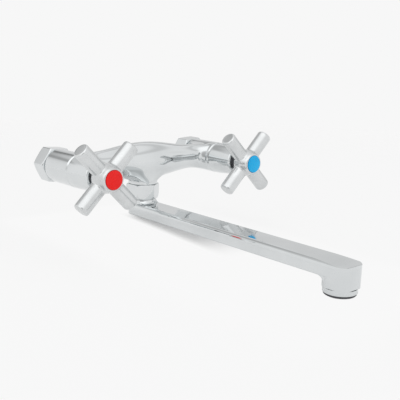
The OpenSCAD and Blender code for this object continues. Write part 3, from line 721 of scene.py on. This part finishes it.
@dataclass(frozen=True)
class Casting:
    """The casting: two barrels, the swelling bridge and the neck, with soft fillets.

    Attributes:
        spacing: Distance between the two barrels.
        station: Distance of the bridge's axis in front of the wall faces.
        rise: Height of the bridge's axis.
        barrel_r: Radius of a barrel.
        barrel_back: Where the barrels begin.
        barrel_front: Where the barrels end.
        barrel_rows: Places of a barrel's plain rings.
        back_edge: How far before the back and inside the side its edge's rings lie.
        front_edge: Width of the front edge.
        hole_r: Radius of the hole that a cage leaves in an end face.
        hole_side: Length under which an edge belongs to such a hole.
        mid_r: Radius of the bridge over the neck.
        waist_r: Radius of the bridge's thin part.
        root_r: Radius of the bridge at the barrels.
        bridge_rows: Distances of the bridge's rings from its middle.
        bulge_reach: Distance from its middle at which the swell has gone.
        flare_from: Distance from its middle at which it starts to widen.
        flare_width: Length over which it widens.
        neck_r: Radius of the neck.
        neck_low: Height of the neck's lower face.
        neck_row: How far above it the neck's plain ring lies.
        neck_top: How far above it the neck's cage ends.
        neck_flare: How much wider the cage is there.
        neck_edge: Width of the neck's and the spigot's lower edges.
        spigot_r: Radius of the spigot in the spout nut.
        spigot_low: Height of the spigot's end.
        underside: Where the bridge is opened to the neck.
        neck_rims: Where the rims of bridge and neck lie.
        mouth: Where a barrel is opened to the bridge.
        mouth_rims: Where the rims of barrel and bridge lie.
        count: Points to a ring.
        levels: How often the cage is subdivided.
        tail_bore: Where the inlet tail sits.
        seat_bore: The way through the seat ring.
        valve_bore: The chamber of the valve.
        bridge_bore: The way along the bridge.
        spigot_bore: The way through the spigot.
        drop_bore: The way from the bridge down to it.
    """

    spacing: float = 150.0 * MM
    station: float = 32.4 * MM
    rise: float = 0.7 * MM
    barrel_r: float = 14.0 * MM
    barrel_back: float = 15.3 * MM
    barrel_front: float = 50.3 * MM
    barrel_rows: tuple[float, ...] = (-18.2 * MM, -27.5 * MM, -37.3 * MM, -47.2 * MM)
    back_edge: tuple[Span, ...] = (
        (0.0, 1.7 * MM), (0.45 * MM, 0.6 * MM), (1.5 * MM, 0.0)
    )
    front_edge: float = 1.0 * MM
    hole_r: float = 1.0 * MM
    hole_side: float = 0.6 * MM
    mid_r: float = 16.8 * MM
    waist_r: float = 10.4 * MM
    root_r: float = 12.6 * MM
    bridge_rows: tuple[float, ...] = tuple(
        row * MM for row in (6.0, 17.0, 27.0, 37.0, 47.0, 56.5)
    )
    bulge_reach: float = 61.0 * MM
    flare_from: float = 52.0 * MM
    flare_width: float = 16.0 * MM
    neck_r: float = 13.0 * MM
    neck_low: float = -19.7 * MM
    neck_row: float = 1.6 * MM
    neck_top: float = 3.4 * MM
    neck_flare: float = 0.35 * MM
    neck_edge: float = 0.5 * MM
    spigot_r: float = 11.0 * MM
    spigot_low: float = -26.0 * MM
    underside: Pick = Pick((-17.1 * MM, 17.1 * MM), z=(ALL[0], -7.2 * MM))
    neck_rims: Pick = Pick((-17.5 * MM, 17.5 * MM))
    mouth: Pick = Pick((60.0 * MM, 67.3 * MM), (-47.4 * MM, -18.0 * MM))
    mouth_rims: Pick = Pick((54.0 * MM, 72.0 * MM))
    count: int = 16
    levels: int = 3
    tail_bore: Bore = Bore(9.6 * MM, -14.0 * MM, -22.4 * MM)
    seat_bore: Bore = Bore(7.5 * MM, -21.0 * MM, -28.0 * MM)
    valve_bore: Bore = Bore(10.3 * MM, -26.9 * MM, -52.0 * MM)
    bridge_bore: Bore = Bore(5.2 * MM, -69.0 * MM, 69.0 * MM)
    spigot_bore: Bore = Bore(8.08 * MM, -27.0 * MM, -11.7 * MM)
    drop_bore: Bore = Bore(5.0 * MM, -12.5 * MM, 0.7 * MM)

    def _swell(self) -> float:
        """How much larger a cage is drawn, because smoothing draws it in."""
        return 3.0 / (2.0 + math.cos(2.0 * math.pi / self.count))

    def _bridge_r(self, x: float) -> float:
        """Works out the bridge's radius.

        Args:
            x: A distance from its middle.

        Returns:
            The radius there.
        """
        far = abs(x)
        turn = math.pi * min(far / self.bulge_reach, 1.0)
        bulge = (1.0 + math.cos(turn)) / 2.0
        share = min(max((far - self.flare_from) / self.flare_width, 0.0), 1.0)
        flare = share * share * (3.0 - 2.0 * share)
        return (
            self.waist_r
            + (self.mid_r - self.waist_r) * bulge
            + (self.root_r - self.waist_r) * flare
        )

    def _bridge(self) -> Piece:
        """Draws the bridge as a tube along X.

        Returns:
            The bridge, open at both ends.
        """
        places = [-row for row in reversed(self.bridge_rows)] + [*self.bridge_rows]
        rings = [Ring(x, self._bridge_r(x) * self._swell()) for x in places]
        middle = (0.0, -self.station, self.rise)
        return Bench.turned("bridge", "X", middle, rings, self.count)

    def _barrel(self, side: Side) -> Piece:
        """Draws one barrel as a tube along Y.

        Args:
            side: The barrel's side.

        Returns:
            The barrel, closed.
        """
        wide = self.barrel_r * self._swell()
        back, front, edge = -self.barrel_back, -self.barrel_front, self.front_edge
        rings = [
            Ring(back, self.hole_r),
            *(Ring(back - at, wide - cut, at == 0.0) for at, cut in self.back_edge),
            *(Ring(row, wide) for row in self.barrel_rows),
            Ring(front + edge, wide, True),
            Ring(front, wide - edge, True),
            Ring(front, self.hole_r),
        ]
        middle = (side.value * self.spacing / 2.0, -self.station, 0.0)
        piece = Bench.turned("barrel", "Y", middle, rings, self.count)
        self._cap(piece)
        return piece

    def _neck(self) -> Piece:
        """Draws the neck and the spigot as one tube along Z.

        Returns:
            The neck, closed below.
        """
        grow = self._swell()
        low, end, edge = self.neck_low, self.spigot_low, self.neck_edge
        rings = [
            Ring(low + self.neck_top, (self.neck_r + self.neck_flare) * grow),
            Ring(low + self.neck_row, self.neck_r * grow),
            Ring(low + edge, self.neck_r * grow, True),
            Ring(low, (self.neck_r - edge) * grow, True),
            Ring(low, self.spigot_r * grow, True),
            Ring(end + edge, self.spigot_r * grow, True),
            Ring(end, (self.spigot_r - edge) * grow, True),
            Ring(end, self.hole_r),
        ]
        middle = (0.0, -self.station, 0.0)
        piece = Bench.turned("neck", "Z", middle, rings, self.count)
        self._cap(piece)
        return piece

    def _cap(self, piece: Piece) -> None:
        """Fills the small hole in the middle of each end face.

        Args:
            piece: The cage.
        """
        Bench.edit(piece, "EDGE")
        Bench.pick(
            piece, "edges", lambda edge: Bench.line(piece, edge)[1] < self.hole_side
        )
        bpy.ops.mesh.edge_face_add()
        Bench.close()

    def _open(self, piece: Piece, where: Pick) -> None:
        """Takes the faces in a box away.

        Args:
            piece: The cage.
            where: The box.
        """
        Bench.edit(piece, "FACE")
        Bench.pick(piece, "polygons", lambda face: where.holds(face.center))
        bpy.ops.mesh.delete(type="FACE")
        Bench.close()

    def _weld(self, piece: Piece, where: Pick) -> None:
        """Bridges the two open rims that lie in a box.

        Args:
            piece: The cage.
            where: The box.
        """
        Bench.edit(piece, "EDGE")
        bpy.ops.mesh.select_non_manifold(
            extend=False, use_wire=False, use_boundary=True,
            use_multi_face=False, use_non_contiguous=False, use_verts=False,
        )
        Bench.pick(
            piece,
            "edges",
            lambda edge: edge.select and where.holds(Bench.line(piece, edge)[0]),
        )
        bpy.ops.mesh.bridge_edge_loops(
            type="SINGLE", use_merge=False, twist_offset=0, number_cuts=0
        )
        Bench.close()

    def _cage(self) -> Piece:
        """Joins barrels, bridge and neck to one cage.

        Returns:
            The cage, closed.
        """
        bridge = self._bridge()
        self._open(bridge, self.underside)
        barrels = []
        for side in Side:
            barrels.append(self._barrel(side))
            self._open(barrels[-1], self.mouth.on(side))
        casting = Bench.join([bridge, *barrels, self._neck()], "casting")
        for side in Side:
            self._weld(casting, self.mouth_rims.on(side))
        self._weld(casting, self.neck_rims)
        Bench.edit(casting, "FACE")
        bpy.ops.mesh.select_all(action="SELECT")
        bpy.ops.mesh.normals_make_consistent(inside=False)
        Bench.close()
        return casting

    def _cutters(self) -> list[Piece]:
        """Makes the cutters of the water ways.

        Returns:
            The cutters.
        """
        cutters = []
        for side in Side:
            centre = (side.value * self.spacing / 2.0, 0.0, 0.0)
            cutters += [
                Bench.drill("Y", centre, bore)
                for bore in (self.tail_bore, self.seat_bore, self.valve_bore)
            ]
        middle = (0.0, -self.station, self.rise)
        ways = (("X", self.bridge_bore), ("Z", self.spigot_bore), ("Z", self.drop_bore))
        cutters += [Bench.drill(axis, middle, bore) for axis, bore in ways]
        return cutters

    def build(self, finish: Finish) -> None:
        """Builds the casting in place of its plain solid.

        Args:
            finish: The casting's finish.
        """
        casting = self._cage()
        levels = {"levels": self.levels, "render_levels": self.levels}
        Bench.modify(casting, "SUBSURF", levels)
        Bench.cut(casting, self._cutters())
        Bench.polish(casting, Bench.SHARP_ANGLE)
        finish.cover(casting)
        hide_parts("body")
        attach(casting, "fixed")
        LOG.info("casting built")


@dataclass(frozen=True)
class Softened:
    """A piece cast or forged over its plain solid, with softly rounded edges.

    Attributes:
        node: The solid it is made over.
        body: The body it rides on.
        finish: Its finish.
        grid: Size of the cells that the piece is made over on.
        passes: How often its edges are eased.
        merge: Distance under which the solid's points are one.
        ease: Share of the way to its neighbours' middle that a point moves.
    """

    node: str
    body: str
    finish: Finish
    grid: float
    passes: int
    merge: float = 0.001 * MM
    ease: float = 0.5

    def build(self, solid: Piece) -> None:
        """Builds the piece in place of its plain solid.

        Args:
            solid: The plain solid.
        """
        cast = bpy.data.objects.new(f"{self.node}_cast", solid.data.copy())
        bpy.context.scene.collection.objects.link(cast)
        Bench.edit(cast, "VERT")
        bpy.ops.mesh.select_all(action="SELECT")
        bpy.ops.mesh.remove_doubles(threshold=self.merge)
        Bench.close()
        Bench.modify(cast, "REMESH", {"mode": "VOXEL", "voxel_size": self.grid})
        Bench.modify(cast, "SMOOTH", {"factor": self.ease, "iterations": self.passes})
        Bench.polish(cast, Bench.SOFT_ANGLE)
        self.finish.cover(cast)
        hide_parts(self.node)
        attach(cast, self.body)
        LOG.info("%s softened, %d faces", self.node, len(cast.data.polygons))


@dataclass
class Faucet:
    """The faucet: its solids dressed, and its visible castings modelled again.

    Attributes:
        record: The part's record.
        nodes: The solids, by node name.
        finishes: The finishes.
        grid: Cells of handles and union nuts.
        fine_grid: Cells of spout nut and shrouds.
    """

    record: dict
    nodes: dict
    finishes: Finishes
    grid: float = 0.4 * MM
    fine_grid: float = 0.35 * MM

    def _dress(self) -> None:
        """Gives each carried-over solid the finish of its slot."""
        for part in self.record["subparts"]:
            slot = Slot(part["material_slot"])
            material = self.finishes.of(slot).made()
            solid = self.nodes[part["node"]]
            if not solid.material_slots:
                solid.data.materials.append(material)
            for place in solid.material_slots:
                place.material = material
            LOG.info("%s: %s", part["node"], slot.value)

    def _softened(self) -> list[Softened]:
        """Lists the pieces that are made over their plain solids.

        Returns:
            The pieces, in building order.
        """
        chrome, satin = self.finishes.chrome, self.finishes.satin
        pieces = [Softened("spout_nut", "fixed", chrome, self.fine_grid, passes=3)]
        for word in (side.word for side in Side):
            shroud = f"{word}_shroud"
            pieces.append(Softened(shroud, "fixed", chrome, self.fine_grid, passes=5))
        for word in (side.word for side in Side):
            handle, group = f"{word}_handle", f"{word}_handle_group"
            pieces.append(Softened(handle, group, satin, self.grid, passes=24))
            nut, group = f"{word}_union_nut", f"{word}_nut_group"
            pieces.append(Softened(nut, group, chrome, self.grid, passes=4))
        return pieces

    def build(self) -> None:
        """Builds the whole faucet."""
        self._dress()
        Casting().build(self.finishes.chrome)
        for piece in self._softened():
            piece.build(self.nodes[piece.node])


@dataclass(frozen=True)
class View:
    """The camera, placed where the photograph was taken from.

    Attributes:
        eye: The camera's place.
        heading: Its turn from +Y to +X, in degrees.
        dip: How far it looks down, in degrees.
        roll: Its roll, in degrees.
        lens: Focal length for the film's width, in mm.
        film: The film's width, in mm.
        clip: Nearest and farthest distance it sees.
    """

    eye: Place = (-0.36471, -0.52448, 0.09438)
    heading: float = 41.4125
    dip: float = 11.8860
    roll: float = 1.6615
    lens: float = 62.036
    film: float = 36.0
    clip: Span = (0.01, 50.0)

    def axes(self) -> tuple[Vector, Vector, Vector]:
        """Works out which way the camera looks.

        Returns:
            Its right, up and forward directions.
        """
        turn, tip, lean = (math.radians(v) for v in (self.heading, self.dip, self.roll))
        level = math.cos(tip)
        ahead = Vector((math.sin(turn) * level, math.cos(turn) * level, -math.sin(tip)))
        right = Vector((math.cos(turn), -math.sin(turn), 0.0))
        up = right.cross(ahead)
        return (
            right * math.cos(lean) + up * math.sin(lean),
            up * math.cos(lean) - right * math.sin(lean),
            ahead,
        )

    def place(self) -> None:
        """Puts the camera in the scene."""
        right, up, ahead = self.axes()
        data = bpy.data.cameras.new("view")
        data.lens = self.lens
        data.sensor_width = self.film
        data.clip_start, data.clip_end = self.clip
        view = bpy.data.objects.new("view", data)
        bpy.context.scene.collection.objects.link(view)
        turned = Matrix((right, up, -ahead)).transposed().to_4x4()
        view.matrix_world = Matrix.Translation(self.eye) @ turned
        bpy.context.scene.camera = view


@dataclass(frozen=True)
class Floor:
    """A pale level sheet, with a low ramp that the spout's heel rests on.

    Attributes:
        heel: Place and height where the spout's bar meets the ramp.
        toe: Place and height of the outlet's rim.
        reach: Half the sheet's width.
        level: Height of the sheet, below the outlet at every place of the spout.
        aside: Where the ramp under the spout falls to the sheet, to either side.
        behind: Where the ramp falls to the sheet behind the swivel.
        aside_steps: Steps of the ramp's fall to either side.
        behind_steps: Steps of its fall behind the swivel.
        rows: Places of further rows of points under the spout.
        paper: Brightness of the sheet's own colour.
        glow: Brightness of the glow that stands in for it.
        glow_share: Share of glow that the camera sees on the level sheet.
        ramp_share: How much more of it there is on the ramp.
        shade_share: How much less of it there is where shadow shows.
        mirror_share: Share of glow in reflections.
        mirror_shade: How much less of it there is where shadow shows.
        shade_side: Distances to either side at which shadow stops to show.
        shade_band: Where it shows along the spout.
        ramp_side: Distances to either side at which the ramp's glow stops.
        ramp_band: Where that glow lies along the spout.
        fade: Distances at which the sheet fades away.
    """

    heel: Span = (-0.0150, -0.0479)
    toe: Span = (-0.2665, -0.0610)
    reach: float = 3.0
    level: float = -0.0625
    aside: Span = (0.022, 0.078)
    behind: Span = (0.0, 0.060)
    aside_steps: int = 8
    behind_steps: int = 5
    rows: tuple[float, ...] = (-0.06, -0.10, -0.15, -0.20, -0.25, -0.295)
    paper: float = 0.93
    glow: float = 0.94
    glow_share: float = 0.82
    ramp_share: float = 0.18
    shade_share: float = 0.60
    mirror_share: float = 0.50
    mirror_shade: float = 0.45
    shade_side: Span = (0.0125, 0.0195)
    shade_band: Band = Band((-0.165, -0.105), (-0.045, -0.018))
    ramp_side: Span = (0.076, 0.110)
    ramp_band: Band = Band((-0.330, -0.290), (0.058, 0.080))
    fade: Span = (0.45, 1.1)

    def _rise(self, x: float, y: float) -> float:
        """Works out the ramp's height.

        Args:
            x: A place's distance from the spout's middle, with its sign.
            y: Its place along the spout.

        Returns:
            How far the ramp stands above the sheet's level there.
        """
        slope = (self.heel[1] - self.toe[1]) / (self.heel[0] - self.toe[0])
        top = self.heel[1] + slope * min(y - self.heel[0], 0.0) - self.level
        for value, (low, high) in ((abs(x), self.aside), (y, self.behind)):
            share = min(max((value - low) / (high - low), 0.0), 1.0)
            top *= 1.0 - share * share * (3.0 - 2.0 * share)
        return max(top, 0.0)

    @staticmethod
    def _steps(span: Span, count: int) -> list[float]:
        """Divides a span into even steps."""
        low, high = span
        return [low + (high - low) * step / count for step in range(count + 1)]

    def _sheet(self) -> Piece:
        """Draws the sheet with its ramp.

        Returns:
            The sheet.
        """
        Bench.clear()
        bpy.ops.mesh.primitive_plane_add(
            size=2.0 * self.reach, location=(0, 0, self.level)
        )
        floor = bpy.context.object
        floor.name = "floor"
        bpy.ops.object.transform_apply(location=True, rotation=True, scale=True)
        columns = self._steps(self.aside, self.aside_steps)
        columns += [-place for place in columns]
        rows = self._steps(self.behind, self.behind_steps)
        rows += [self.heel[0], *self.rows]
        Bench.edit(floor, "VERT")
        for normal, places in (((1, 0, 0), columns), ((0, 1, 0), rows)):
            for place in places:
                bpy.ops.mesh.select_all(action="SELECT")
                bpy.ops.mesh.bisect(
                    plane_co=tuple(place * share for share in normal), plane_no=normal
                )
        Bench.close()
        for place in [tuple(vertex.co) for vertex in floor.data.vertices]:
            rise = self._rise(place[0], place[1])
            if rise > 0.0:
                Bench.lift(floor, Vector(place), rise)
        Bench.polish(floor, Bench.SOFT_ANGLE)
        return floor

    def _glow_share(self, sheet: Sheet, place: Reading) -> Reading:
        """Works out how much of the sheet is glow and how much is real paper.

        Paper takes shadows and glow doesn't. The camera sees the shadow under the
        spout and little of any other.

        Args:
            sheet: The material's nodes.
            place: The place on the sheet.

        Returns:
            The share of glow.
        """
        ray = sheet.node("ShaderNodeLightPath", {}, {})
        parts = sheet.node("ShaderNodeSeparateXYZ", {}, {"Vector": place})
        side, along = parts["X"].math("ABSOLUTE"), parts["Y"]
        ramp = (1.0 - side.between(*self.ramp_side)) * self.ramp_band.of(along)
        under = (1.0 - side.between(*self.shade_side)) * self.shade_band.of(along)
        shade = ramp * under
        seen = self.glow_share + self.ramp_share * ramp - self.shade_share * shade
        mirrored = self.mirror_share - self.mirror_shade * shade
        share = ray["Is Camera Ray"] * seen
        return share.math("MAXIMUM", ray["Is Glossy Ray"] * mirrored)

    def build(self) -> None:
        """Lays the floor, pale paper that glows a little."""
        floor = self._sheet()
        material = bpy.data.materials.new("pale_floor")
        material.use_nodes = True
        sheet = Sheet(material.node_tree)
        place = sheet.node("ShaderNodeTexCoord", {}, {})["Object"]
        pale = (self.paper, self.paper, self.paper, 1.0)
        paper = sheet.node("ShaderNodeBsdfDiffuse", {}, {"Color": pale})["BSDF"]
        light = {"Color": WHITE, "Strength": self.glow}
        glow = sheet.node("ShaderNodeEmission", {}, light)["Emission"]
        blend = {0: self._glow_share(sheet, place), 1: paper, 2: glow}
        card = sheet.node("ShaderNodeMixShader", {}, blend)["Shader"]
        length = {"operation": "LENGTH"}
        apart = sheet.node("ShaderNodeVectorMath", length, {0: place})["Value"]
        clear = sheet.node("ShaderNodeBsdfTransparent", {}, {})["BSDF"]
        blend = {0: apart.between(*self.fade), 1: card, 2: clear}
        faded = sheet.node("ShaderNodeMixShader", {}, blend)["Shader"]
        sheet.node("ShaderNodeOutputMaterial", {}, {"Surface": faded})
        floor.data.materials.append(material)


@dataclass(frozen=True)
class Room:
    """The world: a plain white room with a few darker stretches that chrome shows.

    Attributes:
        white: Brightness of the background that the camera sees.
        wall: Brightness of the walls in reflections.
        fill: Brightness of the light on all other surfaces.
        gloom: Dark band round the wall behind the object, by the ray's height.
        skirting: Darker band low on that wall.
        rail: Darker band above its gloom.
        ceiling: Darker band of the ceiling.
        wall_lift: Height of the middle of the wall behind the object.
        wall_edge: Cosines between which that wall sets in.
        window: The window over the camera's left.
        window_light: How much brighter it is than the walls.
        panel: A dark panel over the object's back.
        camera_edge: Cosines between which the camera's dark surroundings set in.
        camera_dark: How dark they are.
    """

    white: float = 0.93
    wall: float = 0.95
    fill: float = 0.80
    gloom: Band = Band((-0.02, 0.10), (0.35, 0.45), 0.20)
    skirting: Band = Band((-0.05, -0.02), (0.0, 0.05), 0.40)
    rail: Band = Band((0.40, 0.44), (0.47, 0.53), 0.45)
    ceiling: Band = Band((0.60, 0.70), (0.73, 0.84), 0.20)
    wall_lift: float = 0.12
    wall_edge: Span = (0.20, 0.80)
    window: Patch = Patch((-0.55, -0.35, 0.76), (0.55, 0.98))
    window_light: float = 0.42
    panel: Patch = Patch((0.02, 0.78, 0.62), (0.86, 0.95), 0.22)
    camera_edge: Span = (0.90, 0.985)
    camera_dark: float = 0.50

    def _mirrored(self, way: Reading, height: Reading, ahead: Vector) -> Reading:
        """Brightness of the room in reflections.

        Args:
            way: The ray's direction.
            height: Its part along Z.
            ahead: The camera's direction.

        Returns:
            The brightness.
        """
        level = Vector((ahead.x, ahead.y, self.wall_lift)).normalized()
        behind = Patch(tuple(level), self.wall_edge).of(way)
        camera = Patch(tuple(-ahead), self.camera_edge, self.camera_dark).of(way)
        window = self.window.of(way)
        bands = (self.gloom, self.skirting, self.rail)
        gloom, skirting, rail = (band.of(height) for band in bands)
        room = self.wall - (gloom + skirting + rail) * behind
        room = room - self.ceiling.of(height) * (1.0 - window) - self.panel.of(way)
        return (room + self.window_light * window) * (1.0 - camera)

    def build(self, ahead: Vector) -> None:
        """Builds the world.

        Args:
            ahead: The camera's direction.
        """
        world = bpy.data.worlds.new("room")
        bpy.context.scene.world = world
        world.use_nodes = True
        sheet = Sheet(world.node_tree)
        ray = sheet.node("ShaderNodeLightPath", {}, {})
        way = sheet.node("ShaderNodeTexCoord", {}, {})["Generated"]
        height = sheet.node("ShaderNodeSeparateXYZ", {}, {"Vector": way})["Z"]
        seen, glossy = ray["Is Camera Ray"], ray["Is Glossy Ray"]
        strength = (
            seen * self.white
            + glossy * (1.0 - seen) * self._mirrored(way, height, ahead)
            + (1.0 - seen) * (1.0 - glossy) * self.fill
        )
        light = {"Color": WHITE, "Strength": strength}
        sky = sheet.node("ShaderNodeBackground", {}, light)["Background"]
        sheet.node("ShaderNodeOutputWorld", {}, {"Surface": sky})


@dataclass(frozen=True)
class Lamp:
    """One soft rectangular lamp, left out of reflections.

    Attributes:
        name: The lamp's name.
        place: Where it hangs.
        size: Its width and height.
        watts: Its power.
        aim: The point it shines at, the middle of the faucet.
    """

    name: str
    place: Place
    size: Span
    watts: float
    aim: Place = (0.0, -0.12, -0.01)

    def hang(self) -> None:
        """Puts the lamp in the scene."""
        data = bpy.data.lights.new(self.name, "AREA")
        data.shape = "RECTANGLE"
        data.size, data.size_y = self.size
        data.energy = self.watts
        made = bpy.data.objects.new(self.name, data)
        bpy.context.scene.collection.objects.link(made)
        made.location = self.place
        made.visible_glossy = False
        way = Vector(self.aim) - Vector(self.place)
        made.rotation_euler = way.to_track_quat("-Z", "Y").to_euler()


@dataclass(frozen=True)
class Studio:
    """Floor, surroundings, camera and lamps."""

    floor: Floor = Floor()
    room: Room = Room()
    view: View = View()
    lamps: tuple[Lamp, ...] = (
        Lamp("top_softbox", (-0.2, -0.3, 1.6), (2.0, 1.8), 5.0),
        Lamp("left_softbox", (-1.5, -0.2, 0.7), (1.4, 1.2), 2.0),
        Lamp("front_softbox", (0.7, -1.5, 0.6), (1.3, 1.1), 1.8),
    )

    def build(self) -> None:
        """Builds the whole studio."""
        self.floor.build()
        self.room.build(self.view.axes()[2])
        for lamp in self.lamps:
            lamp.hang()
        self.view.place()
        bpy.context.scene.view_settings.view_transform = "Standard"
        LOG.info("studio built")


def main() -> None:
    """Builds and dresses the faucet, then the studio round it."""
    logging.basicConfig(level=logging.INFO, format="%(name)s: %(message)s")
    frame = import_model()
    Bench.clear()
    Faucet(frame["record"], frame["nodes"], Finishes()).build()
    Studio().build()


if __name__ == "__main__":
    main()
